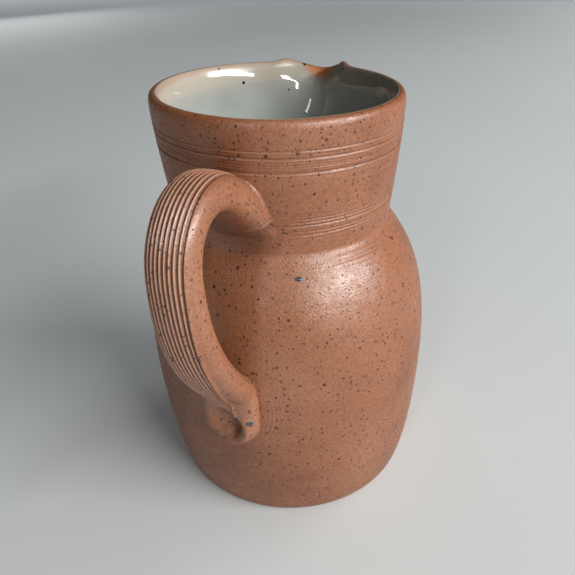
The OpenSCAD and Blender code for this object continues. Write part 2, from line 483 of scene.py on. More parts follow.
def pull_spout(points):
    """The finger pull that draws the spout out of the rim, with its two crests."""
    p = points.copy()
    angle = np.arctan2(p[:, 1], p[:, 0])
    along = angle * CREST_R
    up = np.clip((p[:, 2] - SPOUT_FROM_Z) / (RIM_Z - SPOUT_FROM_Z), 0, 1)
    near_rim = smooth((p[:, 2] - 184) / 16)
    out = SPOUT_PULL * np.exp(-(along / 11.5) ** 2) * up ** 1.7
    rise = -SPOUT_DIP * near_rim * np.exp(-(along / 8.6) ** 2)
    for place, half, flare, lift in SPOUT_CRESTS:
        crest = near_rim * np.exp(-((along - place) / half) ** 2)
        out += flare * crest
        rise += lift * crest
    p[:, 0] += out * np.cos(angle)
    p[:, 1] += out * np.sin(angle)
    p[:, 2] += rise
    return p


LEAN_TOWARDS = (-0.358, 0.934)
LEAN_AT_RIM = 2.1
RIM_TILT = 0.022
OUT_OF_ROUND = 0.0035


def hand_lean(points):
    """The slight lean and tilt that a hand-thrown pot has."""
    p = points.copy()
    lean = np.array(LEAN_TOWARDS)
    side = p[:, :2] @ lean
    angle = np.arctan2(p[:, 1], p[:, 0])
    grow = 1 + OUT_OF_ROUND * np.sin(2 * angle + 0.8) * smooth(p[:, 2] / RIM_Z)
    p[:, :2] *= grow[:, None]
    p[:, :2] += (LEAN_AT_RIM * p[:, 2] / RIM_Z)[:, None] * lean
    p[:, 2] += RIM_TILT * side * smooth((p[:, 2] - 100) / 100)
    return p


def make_body(tree, clay):
    """The thrown body with its turned lines, its ledge, its spout and its lean."""
    outline = join(respaced(BASE_LINE, lambda p: np.where(p[:, 0] < 60, 9.0, 0.7)),
                   respaced(join(BELLY_LINE, SHOULDER_LINE, NECK_LINE), outer_spacing),
                   respaced(RIM_LINE, lambda p: np.full(len(p), 0.55)),
                   respaced(INNER_LINE, lambda p: np.full(len(p), 5.0)))
    body = thrown_form("thrown_body", outline, tree, clay, STEPS_ROUND)
    points = points_of(body.data)
    radius = np.hypot(points[:, 0], points[:, 1])
    z = points[:, 2]
    on_outside = (abs(radius - wall_at(z)) < 0.05) & (z > 2) & (z < 193.9)
    cut = cut_lines(points, on_outside)
    inwards = cut - np.where(on_outside, ledge(z), 0)
    points[:, :2] *= ((radius - inwards) / np.maximum(radius, 1e-6))[:, None]
    store(body.data, "cut", np.clip(cut / 0.4, -1, 1))
    move_points(body.data, hand_lean(pull_spout(points)))
    return body


# The glaze coat's thickness, its thickness at the crest, and how far its back is in the wall.
COAT, COAT_AT_CREST, COAT_SUNK = 0.50, 0.08, 0.25


def make_glaze(tree, glaze):
    """A thin coat on the inner wall, from the floor to the crest, thinning out over the rim."""
    inner_rim = RIM_LINE[np.argmax(RIM_LINE[:, 1]):]
    line = respaced(join(inner_rim, INNER_LINE)[::-1], lambda p: np.where(p[:, 1] > 185, 0.6, 2.2))
    run = np.gradient(line, axis=0)
    run /= np.linalg.norm(run, axis=1)[:, None]
    inward = np.stack([-run[:, 1], run[:, 0]], axis=1)
    thick = COAT_AT_CREST + (COAT - COAT_AT_CREST) * smooth((199.6 - line[:, 1]) / 8)
    front = line + inward * thick[:, None]
    back = line - inward * COAT_SUNK
    front[0, 0] = back[0, 0] = 0
    outline = join(front, np.array([front[-1], back[-1]]), back[::-1])
    coat = thrown_form("inner_glaze_coat", outline, tree, glaze, STEPS_ROUND)
    points = points_of(coat.data)
    angle = np.arctan2(points[:, 1], points[:, 0])
    near_crest = smooth((points[:, 2] - 196.5) / 3.5)
    runny = 0.35 * np.sin(3 * angle + 1) + 0.3 * np.sin(7 * angle) + 0.2 * np.sin(17 * angle)
    radius = np.hypot(points[:, 0], points[:, 1])
    points[:, :2] *= (1 - near_crest * (0.25 + 0.3 * runny) / np.maximum(radius, 1))[:, None]
    move_points(coat.data, hand_lean(pull_spout(points)))
    return coat


# ---------------------------------------------------------------- the strap handle

ROOT_Z = 161.0
TAIL_Z = 56.0
HEEL_Z = 92.0
REACH = 101.0
STRAP_PATH = join(
    bezier((float(wall_at(ROOT_Z)) - 3.2, ROOT_Z - 2), (66, 190), (REACH, 185), (REACH, 156)),
    bezier((REACH, 156), (102, 128), (90, 109), (76.5, HEEL_Z)),
    bezier((76.5, HEEL_Z), (72.5, 86), (74.0, 74), (73.0, TAIL_Z + 1.5)))
RING_GAP = 0.78
STRAP_WIDTHS = ((28.0,), (6.5,), (31.5,), (25.6,))
STRAP_THICKNESS = ([0, 0.3, 0.65, 0.78, 0.9, 1], [8.0, 7.3, 7.1, 6.9, 5.4, 4.6])
SHUT_AT_ROOT, SHUT_AT_TAIL = 1.5, 12.5
GROOVES = 10
COMB_LEFT, COMB_RIGHT = -6.6, 9.4
EDGE_BEAD = 0.75

# The thumb mark: its middle (y, z), tilt in degrees, half-width, reach up and down, and depth.
THUMB = (1.3, 72.0)
THUMB_TILT = -14
THUMB_HALF, THUMB_UP, THUMB_DOWN = 7.9, 10.0, 8.6
THUMB_DEPTH = 5.4
TAIL_ROLL = 2.0
TAIL_SUNK, ROOT_SUNK = 1.4, 2.4


def strap_tree():
    """Sweeps a combed slab along a path; each path point carries the slab's size and comb."""
    tree, given, end = new_group(
        "pull and comb a strap", "GeometryNodeTree",
        {"Path": "NodeSocketGeometry", "Steps Round": 320,
         "Grooves": GROOVES, "Groove Depth": 0.0008, "Groove Power": 1.05,
         "Bead Half Width": 0.0007, "Squareness": 2.45, "Clay": "NodeSocketMaterial"},
        {"Strap": "NodeSocketGeometry"})
    steps = given["Steps Round"]
    path = given["Path"]
    rings = node(tree, "GeometryNodeAttributeDomainSize",
                 {"Geometry": path}).outputs["Point Count"]
    row_length = calc(tree, "ADD", steps, 1.0)
    grid = node(tree, "GeometryNodeMeshGrid", {"Vertices X": rings, "Vertices Y": row_length})
    index = tree.nodes.new("GeometryNodeInputIndex").outputs[0]
    ring = calc(tree, "FLOOR", calc(tree, "DIVIDE", calc(tree, "ADD", index, 0.5), row_length))
    turn = calc(tree, "FLOORED_MODULO", index, row_length)

    def carried(name, kind="FLOAT"):
        if name == "position":
            value = tree.nodes.new("GeometryNodeInputPosition").outputs[0]
        else:
            named = node(tree, "GeometryNodeInputNamedAttribute", {"Name": name}, data_type=kind)
            value = live(named.outputs, "Attribute")
        return sampled(tree, value, path, ring, kind)

    half_width, half_thick = carried("half_width"), carried("half_thick")
    comb_from, comb_to, bite = carried("comb_from"), carried("comb_to"), carried("comb_bite")
    centre, facing = carried("position", "FLOAT_VECTOR"), carried("facing", "FLOAT_VECTOR")
    angle = calc(tree, "DIVIDE", times(tree, turn, math.tau), steps)
    across = times(tree, half_width, calc(tree, "COSINE", angle))
    squareness = given["Squareness"]
    bulge = calc(tree, "POWER", calc(tree, "ABSOLUTE", calc(tree, "COSINE", angle)), squareness)
    rest = calc(tree, "MAXIMUM", calc(tree, "SUBTRACT", 1.0, bulge), 0.0)
    height = calc(tree, "POWER", rest, calc(tree, "DIVIDE", 1.0, squareness))
    side = calc(tree, "SIGN", calc(tree, "SINE", angle))
    lift = times(tree, half_thick, height, side)
    span = calc(tree, "SUBTRACT", comb_to, comb_from)
    count = calc(tree, "DIVIDE", calc(tree, "SUBTRACT", across, comb_from), span)
    tooth = times(tree, count, given["Grooves"])
    wave = calc(tree, "COSINE", times(tree, tooth, math.tau))
    notch = times(tree, calc(tree, "SUBTRACT", 1.0, wave), 0.5)
    notch = calc(tree, "POWER", notch, given["Groove Power"])
    inside = times(tree, fade(tree, count, -0.01, 0.03), fade(tree, count, 1.01, 0.97))
    outer = fade(tree, calc(tree, "SINE", angle), 0.02, 0.2)
    groove = times(tree, times(tree, notch, inside), times(tree, bite, outer))
    lift = calc(tree, "SUBTRACT", lift, times(tree, groove, given["Groove Depth"]))
    from_edge = calc(tree, "DIVIDE", calc(tree, "SUBTRACT", across, comb_from),
                     given["Bead Half Width"])
    bead = calc(tree, "EXPONENT", times(tree, -1.0, times(tree, from_edge, from_edge)))
    bead = times(tree, bead, outer, carried("edge_bead"))
    lift = calc(tree, "ADD", lift, bead)
    outwards = vector(tree, "SCALE", facing, lift)
    sideways = node(tree, "ShaderNodeCombineXYZ", {"Y": across})
    place = vector(tree, "ADD", centre, outwards)
    place = vector(tree, "ADD", place, sideways.outputs[0])
    swept = node(tree, "GeometryNodeSetPosition",
                 {"Geometry": grid.outputs["Mesh"], "Position": place})
    combed = times(tree, inside, outer, bite)
    strap = marked(tree, swept.outputs[0], "groove", groove)
    strap = marked(tree, strap, "combed", combed)
    closed = node(tree, "GeometryNodeMergeByDistance", {"Geometry": strap, "Distance": 1e-6})
    return close_tree(tree, closed.outputs[0], given["Clay"], end)


def make_handle(clay):
    """The combed strap, swept along its path, pressed on at the tail and leant with the body."""
    path = respaced(STRAP_PATH, lambda p: np.full(len(p), RING_GAP))
    rings = len(path)
    run = np.gradient(path, axis=0)
    run /= np.linalg.norm(run, axis=1)[:, None]
    out = np.stack([-run[:, 1], run[:, 0]], axis=1)
    s = np.linspace(0, 1, rings)
    width = bezier(*STRAP_WIDTHS, rings - 1)[:, 0] / 2
    width = width * (1 + 0.12 * np.exp(-s * 190 / 4.5))
    thick = np.interp(s, *STRAP_THICKNESS)
    length = RING_GAP * (rings - 1)
    to_end = np.clip((1 - s) * length / SHUT_AT_TAIL, 0, 1)
    from_root = np.clip(s * length / SHUT_AT_ROOT, 0, 1)
    close = np.sqrt(1 - (1 - to_end) ** 2) * np.sqrt(1 - (1 - from_root) ** 2)
    bite = smooth((s - 0.03) / 0.07) * smooth((0.88 - s) / 0.11)
    thing = mesh_object("combed_handle",
                        np.stack([-path[:, 0], np.zeros(rings), path[:, 1]], axis=1))
    mesh = thing.data
    facing = mesh.attributes.new("facing", "FLOAT_VECTOR", "POINT")
    facing.data.foreach_set("vector", np.stack([-out[:, 0], 0 * s, out[:, 1]], axis=1).ravel())
    narrow = smooth((s - 0.62) / 0.22)
    store(mesh, "half_width", width * close * MM)
    store(mesh, "half_thick", thick * close * MM)
    store(mesh, "comb_from", (COMB_LEFT - 0.9 * np.sin(3 * s) + 2.6 * narrow) * MM)
    store(mesh, "comb_to", (COMB_RIGHT - 1.0 * (1 - smooth(s / 0.3)) - 0.6 * narrow) * MM)
    store(mesh, "comb_bite", bite)
    bead = EDGE_BEAD * smooth((s - 0.25) / 0.3) * smooth((0.97 - s) / 0.08)
    store(mesh, "edge_bead", bead * MM)
    grown_by(thing, strap_tree(), Steps_Round=320, Grooves=GROOVES, Groove_Depth=0.80 * MM,
             Squareness=2.45, Clay=clay)
    face_outwards(thing.data)
    move_points(thing.data, hand_lean(press_tail(points_of(thing.data))))
    return thing


def press_tail(points):
    """The strap pressed on the wall: the tail's thumb mark and rolled edge, and both seats."""
    p = points.copy()
    y, z = p[:, 1], p[:, 2]
    reach = -p[:, 0]
    outer = smooth((reach - wall_at(z) - 2.0) / 2.0) * (z < 100)
    turn = math.radians(THUMB_TILT)
    u = (y - THUMB[0]) * math.cos(turn) + (z - THUMB[1]) * math.sin(turn)
    v = -(y - THUMB[0]) * math.sin(turn) + (z - THUMB[1]) * math.cos(turn)
    oval = np.hypot(u / THUMB_HALF, v / np.where(v > 0, THUMB_UP, THUMB_DOWN))
    deep_right = 0.5 + 0.5 * smooth((4.5 - u) / 9.0)
    slope = 0.75 - 0.35 * smooth((1 - u) / 4)
    dent = THUMB_DEPTH * deep_right * smooth((1.10 - oval) / slope)
    to_right = 1 - smooth((y + 1.0) / 6.0)
    lower = smooth((THUMB[1] + 9 - z) / 14)
    roll = (0.3 + TAIL_ROLL * to_right * lower) * np.exp(-((oval - 1.36) / 0.27) ** 2)
    reach = reach + outer * (roll - dent)
    floor = np.sqrt(np.maximum(wall_at(z) ** 2 - y * y, 0))
    lowest = floor - np.where(z < 104, TAIL_SUNK, ROOT_SUNK) + 3.0 * outer
    p[:, 0] = -np.maximum(reach, lowest)
    return p


# ---------------------------------------------------------------- the slip that lutes it on

# The step that the slip's skin is felt for in, its height where it is hidden in the wall or at
# its border, the most that it may stand off, and how deep it goes into the strap.
STEP = 0.12
HIDDEN, BORDER = -0.3, -0.6
TALLEST = 9.0
INTO_STRAP = 1.2
SKIN_ROWS = 130


def fillet_rise(near, spot, outwards, size):
    """How far slip stands off the wall at a spot: up to the hollow curve that blends wall and
    strap, or until it is hidden inside the strap."""
    rise = HIDDEN
    before = 0.0
    while rise < TALLEST:
        place = spot + outwards * max(rise, 0.0)
        found, normal, _, distance = near.find_nearest(place * MM)
        away = distance / MM
        if (place * MM - found).dot(normal) < 0:
            away = -away
        if away < -INTO_STRAP:
            return rise
        if away > size and rise < 0:
            return HIDDEN
        blend = max(size - abs(rise - away), 0.0) / size
        clear = min(rise, away) - blend * blend * size / 4
        if clear > 0:
            return rise - STEP * clear / (clear - before) if before < 0 else rise
        before = clear
        rise += STEP
    return rise


def make_fillet(name, handle, clay, z_range, y_range, size_at):
    """Slip worked into the corner between wall and strap: a skin over the wall that rises as a
    hollow curve where the strap is near, and goes down into the wall away from it."""
    near = BVHTree.FromObject(handle, bpy.context.evaluated_depsgraph_get())
    rows = columns = SKIN_ROWS
    z, y = np.meshgrid(np.linspace(*z_range, rows), np.linspace(*y_range, columns),
                       indexing="ij")
    radius = wall_at(z)
    angle = math.pi - y / radius
    wall = np.stack([radius * np.cos(angle), radius * np.sin(angle), z], axis=-1)
    flat = wall.reshape(-1, 3)
    leant = hand_lean(flat)
    outwards = flat * (1, 1, 0) / np.hypot(flat[:, 0], flat[:, 1])[:, None]
    rise = np.zeros(len(flat))
    for n, spot in enumerate(leant):
        rise[n] = fillet_rise(near, Vector(spot), Vector(outwards[n]), size_at(flat[n]))
    rise = rise.reshape(rows, columns)
    rim = np.ones((rows, columns), bool)
    rim[1:-1, 1:-1] = False
    rise = np.where(rim, BORDER, rise)
    front, back = wall.copy(), wall.copy()
    front[..., :2] *= (1 + rise / radius)[..., None]
    back[..., :2] *= (1 + 2 * BORDER / radius)[..., None]
    points = hand_lean(np.concatenate([front.reshape(-1, 3), back.reshape(-1, 3)]))
    faces = []
    lower = rows * columns
    for r in range(rows - 1):
        for c in range(columns - 1):
            a = r * columns + c
            faces.append((a, a + 1, a + columns + 1, a + columns))
            faces.append((lower + a, lower + a + columns, lower + a + columns + 1, lower + a + 1))
    border = ([r * columns for r in range(rows)]
              + [(rows - 1) * columns + c for c in range(1, columns)]
              + [r * columns + columns - 1 for r in range(rows - 2, -1, -1)]
              + [c for c in range(columns - 2, 0, -1)])
    for a, b in zip(border, border[1:] + border[:1]):
        faces.append((a, b, lower + b, lower + a))
    thing = mesh_object(name, points, faces)
    face_outwards(thing.data)
    thing.data.shade_smooth()
    thing.data.materials.append(clay)
    return thing


def root_slip(spot):
    """The slip's size round the root: full under the arch, thin above and at the sides."""
    under = float(smooth((160 - spot[2]) / 7) * smooth((21 - abs(spot[1])) / 7))
    return 1.3 + 8.5 * under


def tail_slip(spot):
    """The slip's size round the tail: thin at the sides and the tip, fuller in the heel."""
    return 0.7 + 0.5 * float(smooth((spot[2] - 84) / 8))


# ---------------------------------------------------------------- iron that melted out of it

def iron_share(points):
    """How rich in iron spots the thrown wall is: outside only, richest low down and at the rim
    above the handle."""
    radius = np.hypot(points[:, 0], points[:, 1])
    z = points[:, 2]
    outside = (radius > wall_at(z) - 2.6) & (z > 3) & (z < 197)
    low = smooth((118 - z) / 60)
    above_handle = smooth((z - 168) / 14) * smooth((-points[:, 0] - 5) / 30)
    return outside * np.clip(0.35 + 0.5 * low + 0.8 * above_handle, 0, 1)


def strewing_tree():
    """Strews flat beads of melted iron over a surface, thicker where its "iron" value is high."""
    tree, given, end = new_group(
        "strew iron spots", "GeometryNodeTree",
        {"Surface": "NodeSocketGeometry", "Spots per Square Metre": 3000.0,
         "Smallest": 0.0002, "Largest": 0.0006, "Seed": 4, "Iron": "NodeSocketMaterial"},
        {"Spots": "NodeSocketGeometry"})
    rich = node(tree, "GeometryNodeInputNamedAttribute", {"Name": "iron"}, data_type="FLOAT")
    share = times(tree, rich.outputs[0], given["Spots per Square Metre"])
    seed = given["Seed"]
    spread = node(tree, "GeometryNodeDistributePointsOnFaces",
                  {"Mesh": given["Surface"], "Density": share, "Seed": seed},
                  distribute_method="RANDOM")
    bead = node(tree, "GeometryNodeMeshIcoSphere", {"Radius": 1.0, "Subdivisions": 2})
    size = node(tree, "FunctionNodeRandomValue", data_type="FLOAT")
    low, high = [s for s in size.inputs if s.type == "VALUE" and s.enabled][:2]
    tree.links.new(given["Smallest"], low)
    tree.links.new(given["Largest"], high)
    tree.links.new(seed, size.inputs["Seed"])
    wide = live(size.outputs)
    flat = node(tree, "ShaderNodeCombineXYZ",
                {"X": wide, "Y": times(tree, wide, 0.8), "Z": times(tree, wide, 0.30)})
    strewn = node(tree, "GeometryNodeInstanceOnPoints",
                  {"Points": spread.outputs["Points"], "Instance": bead.outputs["Mesh"],
                   "Rotation": spread.outputs["Rotation"], "Scale": flat.outputs[0]})
    return close_tree(tree, strewn.outputs[0], given["Iron"], end)


def strew_iron(name, on, tree, iron, per_square_metre, smallest, largest, seed):
    """Beads of melted iron on a finished piece, as a piece of their own."""
    thing = bpy.data.objects.new(name, on.data.copy())
    bpy.context.scene.collection.objects.link(thing)
    grown_by(thing, tree, Spots_per_Square_Metre=per_square_metre, Smallest=smallest * MM,
             Largest=largest * MM, Seed=seed, Iron=iron)
    face_outwards(thing.data)
    return thing


def metal_spot(name, on, beside, long_side, short_side, metal):
    """A blue-grey splash of melted iron, flat on a piece at its nearest place to a point."""
    near = BVHTree.FromObject(on, bpy.context.evaluated_depsgraph_get())
    centre, outwards, _, _ = near.find_nearest(Vector(beside) * MM)
    ball = bmesh.new()
    bmesh.ops.create_icosphere(ball, subdivisions=3, radius=1.0)
    points = np.array([v.co for v in ball.verts])
    faces = [[v.index for v in f.verts] for f in ball.faces]
    ball.free()
    lumps = 1 + 0.12 * np.sin(2 * points[:, 0] + 2) * np.cos(3 * points[:, 1])
    points = points * lumps[:, None] * (long_side / 2, short_side / 2, 0.28)
    turn = np.array(outwards.to_track_quat("Z", "Y").to_matrix())
    thing = mesh_object(name, points @ turn.T + np.array(centre) / MM, faces)
    face_outwards(thing.data)
    thing.data.shade_smooth()
    thing.data.materials.append(metal)
    return thing


# ---------------------------------------------------------------- finishes

# Three colours for each clay: where the flame left it alone, flashed it and toasted it.
STONEWARE = ((0.305, 0.112, 0.048), (0.370, 0.160, 0.084), (0.215, 0.066, 0.026))
STRAP_CLAY = ((0.322, 0.128, 0.062), (0.405, 0.190, 0.110), (0.245, 0.085, 0.037))
SLIP = ((0.315, 0.120, 0.056), (0.37, 0.160, 0.086), (0.195, 0.060, 0.025))
# Soot and painted shade under the handle's arch: its colour, and its middle in metres.
SOOT_AND_SHADE = (0.135, 0.040, 0.018)
SOOT_AND_SHADE_CENTRE = (-0.0565, -0.003, 0.1535)
# Painted shade in the clay's small pits.
PIT_SHADE = (0.17, 0.06, 0.03)
FINE_IRON = (0.062, 0.020, 0.010)
COARSE_IRON = (0.042, 0.015, 0.008)
# Painted shade in the turned lines, and painted highlight on the ribs beside them.
CUT_LINE_SHADE = (0.15, 0.055, 0.03)
RIB_HIGHLIGHT = (0.66, 0.40, 0.29)
# Painted highlight on the comb's ridges.
COMB_RIDGE_HIGHLIGHT = (0.56, 0.32, 0.22)
COMB_GROOVE = (0.095, 0.031, 0.014)

# The glaze: thick, over the rim, with painted shade on the inner side away from the light, where it
# breaks to rust, and its specks.
CELADON = ((0.315, 0.338, 0.312), (0.375, 0.395, 0.368))
THIN_GLAZE = (0.45, 0.40, 0.325)
PAINTED_SHADE_GLAZE = (0.095, 0.085, 0.062)
RUST = (0.36, 0.135, 0.045)
FRECKLE = (0.25, 0.12, 0.05)
SPECK = (0.020, 0.014, 0.010)

# Melted iron: dark brown glass in the small spots, blue-grey metal in the large splashes.
BROWN_GLASS = ((0.026, 0.010, 0.006), (0.085, 0.029, 0.013))
BLUE_METAL = ((0.055, 0.068, 0.085), (0.13, 0.165, 0.20))


def iron_group():
    """Dark iron spots: one in each cell that the share picks, each with its own size."""
    tree, given, end = new_group(
        "iron spots", "ShaderNodeTree",
        {"Vector": "NodeSocketVector", "Cells per Metre": 400.0, "Spot Size": 0.2, "Share": 0.5,
         "Edge": 0.06},
        {"Mask": "NodeSocketFloat"})
    ragged = noise(tree, given["Vector"], 2600.0, 1.0, output="Color")
    shift = vector(tree, "SCALE", ragged, 0.00022)
    place = vector(tree, "ADD", given["Vector"], shift)
    cells = node(tree, "ShaderNodeTexVoronoi",
                 {"Vector": place, "Scale": given["Cells per Metre"]})
    chance = node(tree, "ShaderNodeSeparateColor", {0: cells.outputs["Color"]})
    size = times(tree, given["Spot Size"],
                 calc(tree, "MULTIPLY_ADD", chance.outputs[0], 0.7, 0.3))
    inside = calc(tree, "DIVIDE", calc(tree, "SUBTRACT", size, cells.outputs["Distance"]),
                  given["Edge"])
    picked = calc(tree, "LESS_THAN", chance.outputs[1], given["Share"])
    mask = times(tree, fade(tree, inside, 0.0, 1.0), picked)
    tree.links.new(mask, end.inputs["Mask"])
    return tree


def skin_group():
    """The fired clay's skin: orange peel, fine throwing rings and small pits, as a height."""
    tree, given, end = new_group(
        "clay skin", "ShaderNodeTree",
        {"Vector": "NodeSocketVector", "Peel": 0.5, "Rings": 0.4, "Pits": 0.5},
        {"Height": "NodeSocketFloat", "Pit Mask": "NodeSocketFloat"})
    place = given["Vector"]
    peel = noise(tree, place, 1150.0, 2.5, 0.6)
    broad = noise(tree, place, 170.0, 2.0)
    level = vector(tree, "MULTIPLY", place, (9.0, 9.0, 760.0))
    ring = noise(tree, level, 1.0, 3.0, 0.65)
    pits = node(tree, "ShaderNodeTexVoronoi", {"Vector": place, "Scale": 640.0})
    chance = node(tree, "ShaderNodeSeparateColor", {0: pits.outputs["Color"]})
    pit = times(tree, fade(tree, pits.outputs["Distance"], 0.30, 0.16),
                calc(tree, "LESS_THAN", chance.outputs[0], 0.35))
    height = times(tree, peel, given["Peel"])
    height = calc(tree, "MULTIPLY_ADD", ring, given["Rings"], height)
    height = calc(tree, "MULTIPLY_ADD", broad, 0.5, height)
    height = calc(tree, "SUBTRACT", height, times(tree, pit, given["Pits"]))
    tree.links.new(height, end.inputs["Height"])
    tree.links.new(pit, end.inputs["Pit Mask"])
    return tree


def finger_group():
    """Faint rings that a finger left as it smoothed the clay round the handle's tail."""
    tree, given, end = new_group(
        "finger rings", "ShaderNodeTree",
        {"Vector": "NodeSocketVector", "Middle Height": 0.074, "Inner Radius": 0.0135,
         "Ring Width": 0.0018},
        {"Height": "NodeSocketFloat"})
    parts = node(tree, "ShaderNodeSeparateXYZ", {0: given["Vector"]})
    up = calc(tree, "SUBTRACT", parts.outputs["Z"], given["Middle Height"])
    flat = node(tree, "ShaderNodeCombineXYZ",
                {"X": parts.outputs["Y"], "Y": calc(tree, "DIVIDE", up, 1.3)})
    reach = vector(tree, "LENGTH", flat.outputs[0])
    around = calc(tree, "SUBTRACT", reach, given["Inner Radius"])
    turns = calc(tree, "DIVIDE", around, given["Ring Width"])
    wave = calc(tree, "SINE", times(tree, turns, math.tau))
    near = times(tree, fade(tree, around, 0.0, 0.001), fade(tree, around, 0.012, 0.003),
                 fade(tree, parts.outputs["Z"], 0.094, 0.076),
                 fade(tree, parts.outputs["X"], -0.03, -0.05))
    tree.links.new(times(tree, wave, near), end.inputs["Height"])
    return tree


def flame_group():
    """Where the flame and the salt went: a slow change between three clay colours."""
    tree, given, end = new_group(
        "flame marks", "ShaderNodeTree",
        {"Vector": "NodeSocketVector", "Body Colour": (0.42, 0.195, 0.112, 1),
         "Flashed Colour": (0.50, 0.26, 0.165, 1), "Toasted Colour": (0.31, 0.125, 0.065, 1),
         "Change": 0.6},
        {"Color": "NodeSocketColor"})
    place = given["Vector"]
    slow = noise(tree, place, 15.0, 3.0, 0.55)
    banded = vector(tree, "MULTIPLY", place, (14.0, 14.0, 130.0))
    band = noise(tree, banded, 1.0, 3.0)
    grain = noise(tree, place, 900.0, 3.0, 0.7)
    change = given["Change"]
    flashed = times(tree, fade(tree, slow, 0.48, 0.66), change)
    toasted = times(tree, fade(tree, slow, 0.50, 0.34), change)
    colour = mix(tree, flashed, given["Body Colour"], given["Flashed Colour"])
    colour = mix(tree, toasted, colour, given["Toasted Colour"])
    colour = mix(tree, fade(tree, band, 0.5, 0.75, 0.0, 0.22), colour,
                 given["Flashed Colour"])
    speck = fade(tree, grain, 0.35, 0.65, 0.80, 1.14)
    even = node(tree, "ShaderNodeCombineColor", {0: speck, 1: speck, 2: speck})
    colour = mix(tree, 1.0, colour, even.outputs[0], "MULTIPLY")
    tree.links.new(colour, end.inputs["Color"])
    return tree


def new_material(name, roughness, specular=0.5):
    """A material with its node tree and its shader."""
    paint = bpy.data.materials.new(name)
    paint.use_nodes = True
    tree = paint.node_tree
    shader = tree.nodes["Principled BSDF"]
    shader.inputs["Roughness"].default_value = roughness
    shader.inputs["Specular IOR Level"].default_value = specular
    return paint, tree, shader


def use(tree, group, **values):
    """A node group in a material, with its own values; names use _ for a space."""
    made = tree.nodes.new("ShaderNodeGroup")
    made.node_tree = group
    for name, value in values.items():
        socket = made.inputs[name.replace("_", " ")]
        if isinstance(value, bpy.types.NodeSocket):
            tree.links.new(value, socket)
        else:
            socket.default_value = value
    return made


def raised(tree, shader, height, distance, strength=1.0):
    """Shade a material by a height, which stands for relief of the given distance in metres."""
    bump = node(tree, "ShaderNodeBump",
                {"Height": height, "Distance": distance, "Strength": strength})
    tree.links.new(bump.outputs["Normal"], shader.inputs["Normal"])


def attribute(tree, name):
    """A value that the mesh carries, read by its name."""
    return node(tree, "ShaderNodeAttribute", attribute_name=name).outputs["Fac"]


def clay_material(name, groups, colours, skin, roughness, extra=None, fingers=0.0):
    """Salt-fired clay: flame colour, soot and painted shade under the handle's arch, iron spots,
    pits darkened as painted shade, and a peel-like skin.
    """
    paint, tree, shader = new_material(name, roughness, 0.8)
    place = tree.nodes.new("ShaderNodeTexCoord").outputs["Object"]
    body, flashed, toasted = ((*c, 1.0) for c in colours)
    flame = use(tree, groups["flame"], Vector=place, Body_Colour=body, Flashed_Colour=flashed,
                Toasted_Colour=toasted, Change=0.6)
    fine = use(tree, groups["iron"], Vector=place, Cells_per_Metre=450.0, Spot_Size=0.33,
               Share=0.72)
    coarse = use(tree, groups["iron"], Vector=place, Cells_per_Metre=205.0, Spot_Size=0.20,
                 Share=0.42, Edge=0.03)
    surface = use(tree, groups["skin"], Vector=place, **skin)
    colour = flame.outputs["Color"]
    if extra:
        colour = extra(tree, colour)
    # Darker round a spot under the handle's arch: soot, and painted shade where the strap hides the
    # wall from the light.
    under_arch = vector(tree, "DISTANCE", place, SOOT_AND_SHADE_CENTRE)
    soot_and_shade = fade(tree, under_arch, 0.019, 0.005, 0.0, 0.62)
    colour = mix(tree, soot_and_shade, colour, SOOT_AND_SHADE)
    # The pits get painted shade; the iron spots are the clay's own colour.
    for mask, share, tint in ((surface.outputs["Pit Mask"], 0.45, PIT_SHADE),
                              (fine.outputs["Mask"], 0.85, FINE_IRON),
                              (coarse.outputs["Mask"], 0.90, COARSE_IRON)):
        colour = mix(tree, times(tree, mask, share), colour, tint)
    tree.links.new(colour, shader.inputs["Base Color"])
    wear = noise(tree, place, 240.0, 3.0)
    gloss = fade(tree, wear, 0.3, 0.7, roughness - 0.07, roughness + 0.09)
    tree.links.new(gloss, shader.inputs["Roughness"])
    relief = surface.outputs["Height"]
    if fingers:
        rings = use(tree, groups["finger"], Vector=place)
        relief = calc(tree, "MULTIPLY_ADD", rings.outputs["Height"], fingers, relief)
    raised(tree, shader, relief, 0.00022)
    return paint


def body_extra(tree, colour):
    """Turned lines are darkened as painted shade, and the ribs between them are painted paler as
    painted highlight.
    """
    cut = attribute(tree, "cut")
    colour = mix(tree, fade(tree, cut, 0.15, 1.0, 0.0, 0.55), colour, CUT_LINE_SHADE)
    return mix(tree, fade(tree, cut, -0.02, -0.3, 0.0, 0.35), colour, RIB_HIGHLIGHT)


def comb_extra(tree, colour):
    """The comb's grooves are dark at the bottom, and its ridges are painted paler than the slab as
    painted highlight.
    """
    groove, combed = attribute(tree, "groove"), attribute(tree, "combed")
    ridge_highlight = times(tree, fade(tree, groove, 0.42, 0.08, 0.0, 0.75), combed)
    colour = mix(tree, ridge_highlight, colour, COMB_RIDGE_HIGHLIGHT)
    return mix(tree, fade(tree, groove, 0.35, 0.95, 0.0, 0.80), colour, COMB_GROOVE)


